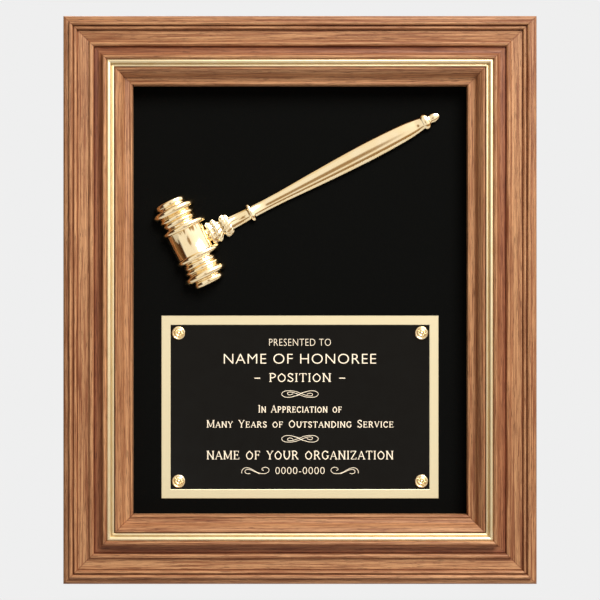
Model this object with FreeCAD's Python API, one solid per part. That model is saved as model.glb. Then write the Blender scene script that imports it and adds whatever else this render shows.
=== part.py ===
"""Framed award plaque with a relief gavel and an engraving plate. Millimetres.

The origin is the middle of the plane of the wall that the plaque hangs on. +Z is up, +X is to the
right as a viewer sees the plaque, and -Y points away from the wall, at the viewer.

Outlines of mouldings are in (u, h): u runs inwards from the outer edge of the frame, and h runs
forwards from the back face of the rails.
"""
import FreeCAD, Part
import math
import os

from FreeCAD import Vector

# Frame: nominal 12.5 x 15 inch outer size.
FRAME_W = 317.5
FRAME_H = 381.0
PAD_T = 3.5              # the wall pads hold the rails this far off the wall
RABBET_U = 22.4          # rabbet wall
RABBET_H = 15.2          # rabbet ceiling
LIP_U = 29.6             # inner edge of the rail's lip
FILLET_FLANGE_U = 26.5
FILLET_FLANGE_T = 1.2
FILLET_U = (29.7, 34.8)  # visible width of the gold strip
SLIP_FLANGE_U = 23.4
SLIP_U = 35.1            # outer edge of the slip's raised part
SIGHT_U = 46.5           # sight edge

# Display board and its velour.
BOARD_BACK_H = 0.9
BOARD_T = 6.0
VELOUR_T = 0.8
VELOUR_U = 23.0          # edge of the covered board
VELOUR_FLAP = 18.0       # width of the velour turned over the back
VELOUR_H = BOARD_BACK_H + BOARD_T + VELOUR_T

# Engraving plate and its tacks.
PLATE_W = 187.0
PLATE_H = 123.3
PLATE_T = 0.6
PLATE_Z = -72.2          # height of the plate's middle
PLATE_EDGE = 0.2         # broken edge
TACK_X = 81.8
TACK_Z = 49.9
TACK_HEAD_R = 4.5
TACK_SHANK_R = 0.8
TACK_LENGTH = 6.0

# Gavel. The head's axis and the handle's axis lie this far in front of the velour.
GAVEL_AXIS = 2.0
GAVEL_X = -74.3
GAVEL_Z = 38.9
HEAD_TURN = 26.6         # from +X to the side that the handle leaves, degrees
HANDLE_TURN = 27.5
HANDLE_DROP = 1.4        # the handle enters this far below the head's middle
HEAD_RELIEF = 0.72       # depth of each casting, as a share of the depth of a round one
HANDLE_RELIEF = 0.42
HEAD_HALF = 31.2
BARREL_R = 13.3
TENON_R = 1.9
TENON_LENGTH = 8.0
HANDLE_START = 14.3      # from the head's axis to the ferrule
HANDLE_END = 188.9

# Screws from behind the board into the castings.
CASTING_SCREW_R = 2.0
CASTING_SCREW_LENGTH = 10.0
CASTING_SCREW_HEAD_R = 4.0
CASTING_HOLE_R = 2.2
HANDLE_SCREW_AT = 135.0  # along the handle, from the head's axis

# Turn buttons, hanger, corner nails and wall pads on the back.
BUTTON_LENGTH = 30.0
BUTTON_W = 10.0
BUTTON_T = 1.0
BUTTON_GAP = 0.2         # between a button and the rail
BUTTON_U = 12.0
BUTTON_TAIL = 6.0        # from the pivot to the near end
BUTTON_SPREAD = 70.0     # pivots on the top and bottom rails, from the middle
BUTTON_SCREW_R = 1.75
BUTTON_BORE_R = 1.8
HANGER_W = 50.0
HANGER_H = 9.0
HANGER_T = 0.8
HANGER_RISE = 1.6
HANGER_U = 13.0
HANGER_NAIL_X = 21.5
NAIL_R = 0.8
PAD_R = 6.0
PAD_X = FRAME_W / 2 - 12.0
PAD_Z = FRAME_H / 2 - 34.0
V_NAIL_AT = (7.0, 17.0)  # distance of each pair from the outer edge
V_NAIL_LEG = 4.5
V_NAIL_T = 0.6
V_NAIL_DEPTH = 9.0

OUT = "parts"
TOWARDS_VIEWER = Vector(0, -1, 0)
X_AXIS = Vector(1, 0, 0)
Y_AXIS = Vector(0, 1, 0)
ORIGIN = Vector(0, 0, 0)

# Each side: its length, the frame's size across it, and its turn about +Y from the bottom rail.
SIDES = {
    "bottom": (FRAME_W, FRAME_H, 0.0),
    "left": (FRAME_H, FRAME_W, 90.0),
    "top": (FRAME_W, FRAME_H, 180.0),
    "right": (FRAME_H, FRAME_W, -90.0),
}

# A step of an outline is a point, or a point on an arc followed by the arc's end.
RAIL_OUTLINE = [
    (0.0, 0.0),
    (0.0, 16.6),
    ((0.8, 18.4), (2.7, 19.5)),          # rounded outer edge
    (3.9, 19.6),
    (4.1, 21.0),
    ((5.4, 22.3), (6.6, 20.9)),          # first bead
    (6.7, 19.7),
    (7.2, 19.7),
    (7.3, 20.4),
    ((8.3, 21.3), (9.3, 20.3)),          # second bead
    (9.5, 18.9),
    (9.9, 18.9),
    (10.1, 19.4),
    (17.2, 19.4),                        # wide flat
    (17.7, 20.6),
    ((19.2, 21.8), (20.7, 20.4)),        # third bead
    (20.8, 19.2),
    (21.3, 19.2),
    (21.4, 20.0),
    (22.2, 20.0),
    ((25.6, 21.5), (27.0, 25.0)),        # cove
    ((28.3, 26.6), (LIP_U, 25.4)),       # crest
    (LIP_U, RABBET_H),
    (RABBET_U, RABBET_H),
    (RABBET_U, 0.0),
]
FILLET_OUTLINE = [
    (FILLET_FLANGE_U, RABBET_H - FILLET_FLANGE_T),
    (FILLET_FLANGE_U, RABBET_H),
    (FILLET_U[0], RABBET_H),
    (FILLET_U[0], 24.9),
    ((31.2, 26.3), (32.7, 24.9)),        # outer bead
    (32.8, 24.0),
    (33.1, 24.0),
    ((33.9, 24.8), (FILLET_U[1], 24.0)), # inner step
    (FILLET_U[1], RABBET_H - FILLET_FLANGE_T),
]
SLIP_OUTLINE = [
    (SLIP_FLANGE_U, VELOUR_H),
    (SLIP_FLANGE_U, RABBET_H - FILLET_FLANGE_T),
    (SLIP_U, RABBET_H - FILLET_FLANGE_T),
    (SLIP_U, 24.2),
    ((35.7, 25.0), (36.5, 24.9)),        # crest
    ((39.1, 23.1), (40.6, 20.3)),        # ogee, its round half
    ((41.1, 19.2), (42.0, 18.8)),        # ogee, its hollow half
    (44.7, 18.8),
    ((45.6, 19.6), (SIGHT_U, 18.6)),     # sight bead
    (SIGHT_U, VELOUR_H),
]

# Turned outlines are (distance along the axis, radius).
HEAD_OUTLINE = [
    (0.0, BARREL_R),
    (9.0, BARREL_R),
    (9.2, 10.9),
    (13.6, 10.7),
    ((14.2, 11.6), (14.9, 11.8)),
    ((16.6, 12.0), (17.3, 11.0)),        # second neck ring
    (17.6, 12.0),
    ((19.0, 13.1), (20.4, 11.9)),        # first neck ring
    (20.9, 11.6),
    (21.5, 13.6),
    ((23.9, 15.4), (26.2, 13.4)),        # large ring
    (26.5, 9.9),
    (27.0, 9.9),
    ((27.7, 10.8), (28.9, 11.0)),        # end cap
    ((30.6, 10.4), (31.0, 8.6)),
    ((31.15, 4.4), (HEAD_HALF, 0.0)),
]
MID_RING_AT = 10.7
MID_RING_R = 16.2
MID_RING_HALF_T = 1.9
MID_RING_SHIFT = 1.3     # the ring stands further out on the handle's side

HANDLE_OUTLINE = [
    (HANDLE_START, 0.0),
    (HANDLE_START, 7.0),
    ((15.2, 8.0), (16.5, 7.6)),
    (18.2, 6.9),                         # ferrule, first row of leaves
    ((19.6, 7.9), (21.2, 7.0)),          # ferrule, second row of leaves
    ((22.3, 5.6), (23.1, 4.6)),
    (24.0, 5.4),
    ((25.8, 7.5), (27.6, 7.2)),          # large bead
    ((29.3, 6.7), (30.2, 5.7)),
    (30.6, 4.7),
    (43.4, 4.1),
    ((44.2, 4.7), (44.6, 5.6)),
    ((45.8, 6.4), (47.0, 5.5)),          # small bead
    (47.8, 4.1),
    ((64.0, 4.1), (80.0, 4.75)),
    ((100.0, 5.7), (120.0, 6.4)),        # swelling grip
    ((141.6, 6.65), (160.0, 6.15)),
    ((168.5, 5.4), (176.0, 4.2)),
    ((178.6, 5.5), (180.6, 4.4)),        # finial ring
    ((181.9, 2.8), (183.0, 2.9)),
    ((184.6, 3.1), (187.0, 2.3)),        # finial knob
    ((188.4, 1.3), (HANDLE_END, 0.0)),
]


def forward(h):
    """The y of a plane that stands h in front of the rails' back face."""
    return -(PAD_T + h)


def outline_wire(steps, place):
    """A closed wire through an outline's steps, with place turning each pair into a Vector."""
    start = place(*steps[0])
    here = start
    edges = []
    for step in steps[1:]:
        if isinstance(step[0], tuple):
            middle, end = (place(*point) for point in step)
            edges.append(Part.Arc(here, middle, end).toShape())
        else:
            end = place(*step)
            edges.append(Part.makeLine(here, end))
        here = end
    if here.distanceToPoint(start) > 1e-6:
        edges.append(Part.makeLine(here, start))
    return Part.Wire(edges)


def polygon_prism(points, depth):
    """The prism of a flat polygon, pushed out along depth."""
    corners = list(points) + [points[0]]
    return Part.Face(Part.makePolygon(corners)).extrude(depth)


def block(x0, x1, h0, h1, z0, z1):
    """A block between two heights h above the rails' back face."""
    return Part.makeBox(x1 - x0, h1 - h0, z1 - z0, Vector(x0, forward(h1), z0))


def disc(radius, h0, h1, x, z):
    """A cylinder along Y between two heights h."""
    return Part.makeCylinder(radius, h1 - h0, Vector(x, forward(h0), z), TOWARDS_VIEWER)


def cone(r0, r1, h0, h1, x, z):
    """A cone along Y, of radius r0 at h0 and r1 at h1."""
    return Part.makeCone(r0, r1, h1 - h0, Vector(x, forward(h0), z), TOWARDS_VIEWER)


def mitred_strip(outline, side):
    """A length of moulding along one side, cut at 45 degrees at both ends."""
    length, across, turn = SIDES[side]
    wire = outline_wire(outline, lambda u, h: Vector(-length / 2, forward(h), u - across / 2))
    bar = Part.Face(wire).extrude(Vector(length, 0, 0))
    reach = SIGHT_U + 10
    front = forward(60)
    plan = [
        Vector(-length / 2, front, -across / 2),
        Vector(length / 2, front, -across / 2),
        Vector(length / 2 - reach, front, reach - across / 2),
        Vector(reach - length / 2, front, reach - across / 2),
    ]
    strip = bar.common(polygon_prism(plan, Vector(0, 80, 0)))
    strip.rotate(ORIGIN, Y_AXIS, turn)
    return strip


def make_v_nails():
    """Eight V-shaped nails, two pressed across the back of each mitre."""
    nails = []
    slope = V_NAIL_LEG
    for u in V_NAIL_AT:
        tip_x = FRAME_W / 2 - u
        tip_z = FRAME_H / 2 - u
        corner = [
            (0.0, 0.0),
            (-slope, 0.0),
            (-slope, -V_NAIL_T),
            (-V_NAIL_T, -V_NAIL_T),
            (-V_NAIL_T, -slope),
            (0.0, -slope),
        ]
        for sx in (-1, 1):
            for sz in (-1, 1):
                points = [Vector(sx * (tip_x + x), forward(0.1), sz * (tip_z + z)) for x, z in corner]
                nails.append(polygon_prism(points, Vector(0, -V_NAIL_DEPTH, 0)))
    return Part.makeCompound(nails)


def button_pivots():
    """Name, x, z and the direction in degrees that each turn button points at rest."""
    side_x = FRAME_W / 2 - BUTTON_U
    end_z = FRAME_H / 2 - BUTTON_U
    return [
        ("top_left", -BUTTON_SPREAD, end_z, -90.0),
        ("top_right", BUTTON_SPREAD, end_z, -90.0),
        ("left", -side_x, 0.0, 0.0),
        ("right", side_x, 0.0, 180.0),
        ("bottom_left", -BUTTON_SPREAD, -end_z, 90.0),
        ("bottom_right", BUTTON_SPREAD, -end_z, 90.0),
    ]


def make_turn_button(x, z, turn):
    """A steel strip with round ends, and a running bore for its screw near one end."""
    h0 = -BUTTON_GAP - BUTTON_T
    end_r = BUTTON_W / 2
    reach = BUTTON_LENGTH - BUTTON_TAIL
    strip = block(end_r - BUTTON_TAIL, reach - end_r, h0, -BUTTON_GAP, -end_r, end_r)
    strip = strip.fuse(disc(end_r, h0, -BUTTON_GAP, end_r - BUTTON_TAIL, 0))
    strip = strip.fuse(disc(end_r, h0, -BUTTON_GAP, reach - end_r, 0))
    strip = strip.removeSplitter()
    strip = strip.cut(disc(BUTTON_BORE_R, h0 - 1, 1, 0, 0))
    strip.rotate(ORIGIN, Y_AXIS, -turn)
    strip.translate(Vector(x, 0, z))
    return strip


def make_button_screw(x, z):
    """A pan-head screw with a cross recess, its shank down in the rail."""
    head_back = -BUTTON_GAP - BUTTON_T - 0.15
    head_h = 1.6
    head_r = 3.3
    screw = disc(head_r, head_back - head_h, head_back, x, z)
    screw = screw.makeFillet(0.9, [e for e in screw.Edges if is_ring_at(e, head_r, forward(head_back - head_h))])
    screw = screw.fuse(disc(BUTTON_SCREW_R, head_back, 11.0, x, z))
    screw = screw.fuse(cone(BUTTON_SCREW_R, 0.3, 11.0, 13.0, x, z))
    return screw.cut(cross_recess(x, z, head_back - head_h, 0.9, 3.4)).removeSplitter()


def is_ring_at(edge, radius, y):
    """Whether an edge is the full circle of that radius in the plane at y."""
    curve = edge.Curve
    return isinstance(curve, Part.Circle) and abs(curve.Radius - radius) < 1e-6 and abs(curve.Center.y - y) < 1e-6


def cross_recess(x, z, h_face, depth, size):
    """A driver's cross, sunk forwards from a screw head's back face at h_face."""
    half = size / 2
    arm = 0.4
    bar = block(x - half, x + half, h_face - 1, h_face + depth, z - arm, z + arm)
    return bar.fuse(block(x - arm, x + arm, h_face - 1, h_face + depth, z - half, z + half))


def make_hanger():
    """A sawtooth hanger: a strip with raised middle and a toothed lower edge."""
    end = 7.0
    ramp = 2.0
    half = HANGER_W / 2
    outline = [
        (-half, 0.0),
        (-half, -HANGER_T),
        (end - half, -HANGER_T),
        (end + ramp - half, -HANGER_T - HANGER_RISE),
        (half - end - ramp, -HANGER_T - HANGER_RISE),
        (half - end, -HANGER_T),
        (half, -HANGER_T),
        (half, 0.0),
        (half - end, 0.0),
        (half - end - ramp, -HANGER_RISE),
        (end + ramp - half, -HANGER_RISE),
        (end - half, 0.0),
    ]
    middle_z = FRAME_H / 2 - HANGER_U
    low_z = middle_z - HANGER_H / 2
    strip = polygon_prism([Vector(x, forward(h), low_z) for x, h in outline], Vector(0, 0, HANGER_H))
    pitch = 4.0
    depth = 2.0
    for k in range(-3, 4):
        notch = [
            Vector(k * pitch - pitch / 2, forward(-5), low_z - 0.01),
            Vector(k * pitch + pitch / 2, forward(-5), low_z - 0.01),
            Vector(k * pitch, forward(-5), low_z + depth),
        ]
        strip = strip.cut(polygon_prism(notch, Vector(0, -10, 0)))
    for x in (-HANGER_NAIL_X, HANGER_NAIL_X):
        strip = strip.cut(disc(NAIL_R, -5, 5, x, middle_z))
    return strip


def make_hanger_nails():
    """Two round-head nails through the hanger's ends."""
    nails = []
    z = FRAME_H / 2 - HANGER_U
    for x in (-HANGER_NAIL_X, HANGER_NAIL_X):
        nail = disc(NAIL_R, -HANGER_T, 8.5, x, z)
        nail = nail.fuse(cone(NAIL_R, 0.15, 8.5, 10.0, x, z))
        nail = nail.fuse(cone(1.4, 2.1, -HANGER_T - 0.9, -HANGER_T, x, z))
        nails.append(nail.removeSplitter())
    return Part.makeCompound(nails)


def make_wall_pad(x, z):
    """A round rubber pad under a rail, with a rounded rim on the wall's side."""
    pad = disc(PAD_R, -PAD_T, 0, x, z)
    return pad.makeFillet(0.8, [e for e in pad.Edges if is_ring_at(e, PAD_R, 0.0)])


def board_block(u, h0, h1):
    """A block with its edges at u from the frame's outer edge on all four sides."""
    return block(u - FRAME_W / 2, FRAME_W / 2 - u, h0, h1, u - FRAME_H / 2, FRAME_H / 2 - u)


def tack_places():
    """The x and z of the four tacks."""
    return [(sx * TACK_X, PLATE_Z + sz * TACK_Z) for sx in (-1, 1) for sz in (-1, 1)]


def casting_screw_places():
    """The x and z of the screws into the gavel's head and handle."""
    turn = math.radians(HANDLE_TURN)
    start_x, start_z = handle_start()
    along_x = start_x + HANDLE_SCREW_AT * math.cos(turn)
    along_z = start_z + HANDLE_SCREW_AT * math.sin(turn)
    return [(GAVEL_X, GAVEL_Z), (along_x, along_z)]


def handle_start():
    """The x and z of the point on the head's axis where the handle's axis meets it."""
    turn = math.radians(HEAD_TURN)
    return GAVEL_X + HANDLE_DROP * math.sin(turn), GAVEL_Z - HANDLE_DROP * math.cos(turn)


def make_display_board():
    """The board, with holes for the tacks and countersunk holes for the casting screws."""
    board = board_block(VELOUR_U + VELOUR_T, BOARD_BACK_H, BOARD_BACK_H + BOARD_T)
    front = BOARD_BACK_H + BOARD_T
    for x, z in tack_places():
        board = board.cut(disc(TACK_SHANK_R, VELOUR_H + PLATE_T - TACK_LENGTH, front + 1, x, z))
    sink = CASTING_SCREW_HEAD_R - CASTING_HOLE_R
    for x, z in casting_screw_places():
        board = board.cut(disc(CASTING_HOLE_R, -1, front + 1, x, z))
        board = board.cut(cone(CASTING_SCREW_HEAD_R, CASTING_HOLE_R, BOARD_BACK_H, BOARD_BACK_H + sink, x, z))
    return board


def make_velour_cover():
    """Velour over the front and edges of the board, turned over the rim of its back."""
    cover = board_block(VELOUR_U, BOARD_BACK_H - VELOUR_T, VELOUR_H)
    cover = cover.cut(board_block(VELOUR_U + VELOUR_T, BOARD_BACK_H, BOARD_BACK_H + BOARD_T))
    cover = cover.cut(board_block(VELOUR_U + VELOUR_FLAP, -5, BOARD_BACK_H))
    for x, z in tack_places():
        cover = cover.cut(disc(TACK_SHANK_R, 0, VELOUR_H + 1, x, z))
    for x, z in casting_screw_places():
        cover = cover.cut(disc(CASTING_HOLE_R, 0, VELOUR_H + 1, x, z))
    return cover


def make_engraving_plate():
    """A thin brass plate with a broken front edge and four tack holes."""
    plate = block(-PLATE_W / 2, PLATE_W / 2, VELOUR_H, VELOUR_H + PLATE_T,
                  PLATE_Z - PLATE_H / 2, PLATE_Z + PLATE_H / 2)
    front = forward(VELOUR_H + PLATE_T)
    rim = [e for e in plate.Edges if all(abs(v.Point.y - front) < 1e-6 for v in e.Vertexes)]
    plate = plate.makeChamfer(PLATE_EDGE, rim)
    for x, z in tack_places():
        plate = plate.cut(disc(TACK_SHANK_R, 0, 20, x, z))
    return plate


def make_rosette_tack(x, z):
    """A tack turned in one piece: a pointed shank under a rimmed, domed head."""
    face = VELOUR_H + PLATE_T
    dome_r = TACK_HEAD_R - 1.6
    dome_foot = 0.7
    dome_rise = 1.5
    ball_r = (dome_r ** 2 + dome_rise ** 2) / (2 * dome_rise)
    ball_h = dome_foot + dome_rise - ball_r
    outline = [
        (0.0, -TACK_LENGTH),
        (TACK_SHANK_R, 1.2 - TACK_LENGTH),
        (TACK_SHANK_R, 0.0),
        (TACK_HEAD_R, 0.0),
        ((TACK_HEAD_R - 0.1, 0.8), (TACK_HEAD_R - 0.9, 1.2)),
        ((TACK_HEAD_R - 1.4, 1.0), (dome_r, dome_foot)),
        ((dome_r / 2, ball_h + math.sqrt(ball_r ** 2 - dome_r ** 2 / 4)), (0.0, dome_foot + dome_rise)),
    ]
    wire = outline_wire(outline, lambda r, h: Vector(x + r, forward(face + h), z))
    return Part.Face(wire).revolve(Vector(x, 0, z), Y_AXIS, 360)


def flat_backed(shape):
    """A casting cut off flat where it lies on the velour."""
    back = block(-FRAME_W, FRAME_W, VELOUR_H - 60, VELOUR_H, -FRAME_H, FRAME_H)
    return shape.cut(back)


def gavel_axis_y():
    """The y of the plane that holds the axes of the head and the handle."""
    return forward(VELOUR_H + GAVEL_AXIS)


def flattened(shape, relief):
    """A turned casting pressed flatter about the plane of its axis, as a low relief is."""
    squash = FreeCAD.Matrix()
    squash.A22 = relief
    squash.A24 = gavel_axis_y() * (1 - relief)
    return shape.transformGeometry(squash)


def both_halves(outline):
    """A half outline that starts at the middle, led in by its mirror image from the other end."""
    steps = []
    here = outline[0]
    for step in outline[1:]:
        by, there = step if isinstance(step[0], tuple) else (None, step)
        steps.append((here, by, there))
        here = there
    whole = [(-here[0], here[1])]
    for start, by, _ in reversed(steps):
        start = (-start[0], start[1])
        whole.append(((-by[0], by[1]), start) if by else start)
    return whole + outline[1:]


def make_gavel_head():
    """The head, turned, with two middle rings off its axis, pressed flatter and bored for the tenon."""
    y = gavel_axis_y()
    wire = outline_wire(both_halves(HEAD_OUTLINE), lambda s, r: Vector(r, y, s))
    head = flattened(Part.Face(wire).revolve(Vector(0, y, 0), Vector(0, 0, 1), 360), HEAD_RELIEF)
    for s in (-MID_RING_AT, MID_RING_AT):
        ring_outline = [
            (0.0, s - MID_RING_HALF_T),
            (MID_RING_R - 1.6, s - MID_RING_HALF_T),
            ((MID_RING_R, s), (MID_RING_R - 1.6, s + MID_RING_HALF_T)),
            (0.0, s + MID_RING_HALF_T),
        ]
        ring = outline_wire(ring_outline, lambda r, z: Vector(MID_RING_SHIFT + r, y, z))
        ring = Part.Face(ring).revolve(Vector(MID_RING_SHIFT, y, 0), Vector(0, 0, 1), 360)
        head = head.fuse(flattened(ring, HEAD_RELIEF))
    head.rotate(ORIGIN, Y_AXIS, -HEAD_TURN)
    head.translate(Vector(GAVEL_X, 0, GAVEL_Z))
    head = flat_backed(head).cut(make_tenon())
    return head.cut(casting_screw(*casting_screw_places()[0]))


def make_tenon():
    """The round tenon that joins the handle to the head, across the gap between them."""
    turn = math.radians(HANDLE_TURN)
    along = Vector(math.cos(turn), 0, math.sin(turn))
    x, z = handle_start()
    foot = Vector(x, gavel_axis_y(), z) + along * (BARREL_R - TENON_LENGTH + 2)
    return Part.makeCylinder(TENON_R, HANDLE_START - BARREL_R + TENON_LENGTH - 2, foot, along)


def make_gavel_handle():
    """The handle, turned from the ferrule to the finial, with its tenon."""
    y = gavel_axis_y()
    wire = outline_wire(HANDLE_OUTLINE, lambda t, r: Vector(t, y, r))
    handle = flattened(Part.Face(wire).revolve(Vector(0, y, 0), X_AXIS, 360), HANDLE_RELIEF)
    handle.rotate(ORIGIN, Y_AXIS, -HANDLE_TURN)
    x, z = handle_start()
    handle.translate(Vector(x, 0, z))
    handle = flat_backed(handle).fuse(make_tenon()).cut(make_gavel_head())
    return handle.cut(casting_screw(*casting_screw_places()[1]))


def casting_screw(x, z):
    """A countersunk machine screw from the back of the board into a casting."""
    head_h = CASTING_SCREW_HEAD_R - CASTING_SCREW_R
    back = BOARD_BACK_H
    screw = disc(CASTING_SCREW_R, back + head_h, back + CASTING_SCREW_LENGTH, x, z)
    return screw.fuse(cone(CASTING_SCREW_HEAD_R, CASTING_SCREW_R, back, back + head_h, x, z))


def make_casting_screws():
    """Both casting screws, with a driver's cross in each head."""
    screws = [casting_screw(x, z).cut(cross_recess(x, z, BOARD_BACK_H, 1.2, 4.4)) for x, z in casting_screw_places()]
    return Part.makeCompound(screws)


def save(name, shape):
    """Checks a sub-part and writes it to its file."""
    if not shape.isValid() or shape.Volume <= 0:
        raise ValueError(name + " isn't a valid solid")
    shape.exportStep(os.path.join(OUT, name + ".step"))


def main():
    os.makedirs(OUT, exist_ok=True)
    v_nails = make_v_nails()
    pivots = button_pivots()
    button_screws = Part.makeCompound([make_button_screw(x, z) for _, x, z, _ in pivots])
    hanger_nails = make_hanger_nails()
    for side in SIDES:
        rail = mitred_strip(RAIL_OUTLINE, side)
        for fastener in (v_nails, button_screws, hanger_nails):
            rail = rail.cut(fastener)
        save(side + "_rail", rail)
        save(side + "_gold_fillet", mitred_strip(FILLET_OUTLINE, side))
        save(side + "_slip", mitred_strip(SLIP_OUTLINE, side))
    save("corner_v_nails", v_nails)
    save("turn_button_screws", button_screws)
    save("hanger_nails", hanger_nails)
    save("sawtooth_hanger", make_hanger())
    for name, x, z, turn in pivots:
        save("turn_button_" + name, make_turn_button(x, z, turn))
    for x_name, x in (("left", -PAD_X), ("right", PAD_X)):
        for z_name, z in (("bottom", -PAD_Z), ("top", PAD_Z)):
            save("wall_pad_" + z_name + "_" + x_name, make_wall_pad(x, z))
    save("display_board", make_display_board())
    save("velour_cover", make_velour_cover())
    save("engraving_plate", make_engraving_plate())
    save("rosette_tacks", Part.makeCompound([make_rosette_tack(x, z) for x, z in tack_places()]))
    save("gavel_head", make_gavel_head())
    save("gavel_handle", make_gavel_handle())
    save("casting_screws", make_casting_screws())


main()
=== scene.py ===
"""The looks of a framed award plaque with a relief gavel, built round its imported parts. Metres.

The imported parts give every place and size. New pieces are modelled round them, ride on their body
and stand for the plainer solids. +Z is up, and the plaque faces -Y.
"""
import math

import bpy
from bpy.props import FloatProperty, FloatVectorProperty, IntProperty, PointerProperty
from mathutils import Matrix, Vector


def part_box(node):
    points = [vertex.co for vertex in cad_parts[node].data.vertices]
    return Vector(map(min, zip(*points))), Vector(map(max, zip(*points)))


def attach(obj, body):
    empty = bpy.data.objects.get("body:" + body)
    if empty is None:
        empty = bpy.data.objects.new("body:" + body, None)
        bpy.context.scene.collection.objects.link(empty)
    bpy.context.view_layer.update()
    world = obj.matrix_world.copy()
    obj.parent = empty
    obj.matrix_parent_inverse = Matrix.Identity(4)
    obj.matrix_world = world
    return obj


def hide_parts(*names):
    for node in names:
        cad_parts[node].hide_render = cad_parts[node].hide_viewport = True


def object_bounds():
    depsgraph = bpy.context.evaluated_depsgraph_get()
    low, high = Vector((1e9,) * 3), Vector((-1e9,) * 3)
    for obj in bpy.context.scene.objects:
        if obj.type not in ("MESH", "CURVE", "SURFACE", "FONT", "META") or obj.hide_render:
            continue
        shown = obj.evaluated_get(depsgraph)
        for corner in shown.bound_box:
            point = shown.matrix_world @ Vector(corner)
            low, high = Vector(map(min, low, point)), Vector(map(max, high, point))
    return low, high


bl_info = {
    "name": "Framed gavel plaque",
    "version": (1, 0, 0),
    "blender": (4, 5, 0),
    "location": "View3D > Sidebar > Plaque",
    "description": "Models and finishes a walnut award plaque with a gavel and an engraving plate",
    "category": "Object",
}

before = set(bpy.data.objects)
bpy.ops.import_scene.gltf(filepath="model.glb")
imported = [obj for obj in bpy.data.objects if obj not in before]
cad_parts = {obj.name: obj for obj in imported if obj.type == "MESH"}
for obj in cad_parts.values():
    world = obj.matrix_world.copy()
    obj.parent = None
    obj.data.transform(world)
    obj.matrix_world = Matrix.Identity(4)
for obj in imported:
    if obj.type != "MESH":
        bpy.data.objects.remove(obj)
CAD_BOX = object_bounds()

MM = 0.001
X_AXIS = Vector((1, 0, 0))
Z_AXIS = Vector((0, 0, 1))
FORWARD = Vector((0, -1, 0))

BODY = "plaque"
FRAME_W = CAD_BOX[1].x - CAD_BOX[0].x
FRAME_H = CAD_BOX[1].z - CAD_BOX[0].z
RAIL_BACK_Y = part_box("top_rail")[1].y
VELOUR_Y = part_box("velour_cover")[0].y
PLATE_LOW, PLATE_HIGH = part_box("engraving_plate")
PLATE_MIDDLE = (PLATE_LOW + PLATE_HIGH) / 2

# How far the black lacquer lies below the bare brass border of the plate.
LACQUER_DEPTH = 0.1 * MM

# Each side: its length, the frame's size across it, and its turn about +Y from the bottom rail.
SIDES = {
    "bottom": (FRAME_W, FRAME_H, 0.0),
    "left": (FRAME_H, FRAME_W, 90.0),
    "top": (FRAME_W, FRAME_H, 180.0),
    "right": (FRAME_H, FRAME_W, -90.0),
}

# Moulding outlines in millimetres: inwards from the frame's outer edge, and forwards from the rails'
# back face. A step is a point, or a point on an arc followed by the arc's end. LIP_U is where the lip
# of the rail ends, over the fillet.
LIP_U = 29.6
RAIL_OUTLINE = [
    (0.0, 0.0), (0.0, 16.6), ((0.8, 18.4), (2.7, 19.5)), (3.9, 19.6), (4.1, 21.0),
    ((5.4, 22.3), (6.6, 20.9)), (6.7, 19.7), (7.2, 19.7), (7.3, 20.4),
    ((8.3, 21.3), (9.3, 20.3)), (9.5, 18.9), (9.9, 18.9), (10.1, 19.4), (17.2, 19.4),
    (17.7, 20.6), ((19.2, 21.8), (20.7, 20.4)), (20.8, 19.2), (21.3, 19.2), (21.4, 20.0),
    (22.2, 20.0), ((25.6, 21.5), (27.0, 25.0)), ((28.3, 26.6), (LIP_U, 25.4)), (LIP_U, 15.2),
    (22.4, 15.2), (22.4, 0.0),
]
FILLET_OUTLINE = [
    (26.5, 14.0), (26.5, 15.2), (29.7, 15.2), (29.7, 24.9), ((31.2, 26.3), (32.7, 24.9)),
    (32.8, 24.0), (33.1, 24.0), ((33.9, 24.8), (34.8, 24.0)), (34.8, 14.0),
]
SLIP_OUTLINE = [
    (23.4, 7.7), (23.4, 14.0), (35.1, 14.0), (35.1, 24.2), ((35.7, 25.0), (36.5, 24.9)),
    ((39.1, 23.1), (40.6, 20.3)), ((41.1, 19.2), (42.0, 18.8)), (44.7, 18.8),
    ((45.6, 19.6), (46.5, 18.6)), (46.5, 7.7),
]

# The gavel, in millimetres. Its castings are turned about an axis this far before the velour, then
# flattened to a share of their depth. GAVEL_X and GAVEL_Z are the head's middle, from the plaque's own.
# The handle starts a little below the middle of the head.
GAVEL_AXIS = 2.0
HEAD_RELIEF = 0.72
HANDLE_RELIEF = 0.42
GAVEL_X = -74.3
GAVEL_Z = 38.9
HEAD_TURN = math.radians(26.6)
HANDLE_TURN = math.radians(27.5)
HANDLE_DROP = 1.4
# Turned outlines: along the axis, and out from it. The head's runs from its middle to one end.
HEAD_HALF_OUTLINE = [
    (0.0, 13.3), (8.9, 13.3), (9.2, 10.9), (13.6, 10.7), ((14.2, 11.6), (14.9, 11.8)),
    ((16.6, 12.0), (17.3, 11.0)), (17.6, 12.0), ((19.0, 13.1), (20.4, 11.9)), (20.9, 11.6),
    (21.5, 13.6), ((23.9, 15.4), (26.2, 13.4)), (26.5, 9.9), (27.0, 9.9),
    ((27.7, 10.8), (28.9, 11.0)), ((30.6, 10.4), (31.0, 8.6)), ((31.15, 4.4), (31.2, 0.0)),
]
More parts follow.
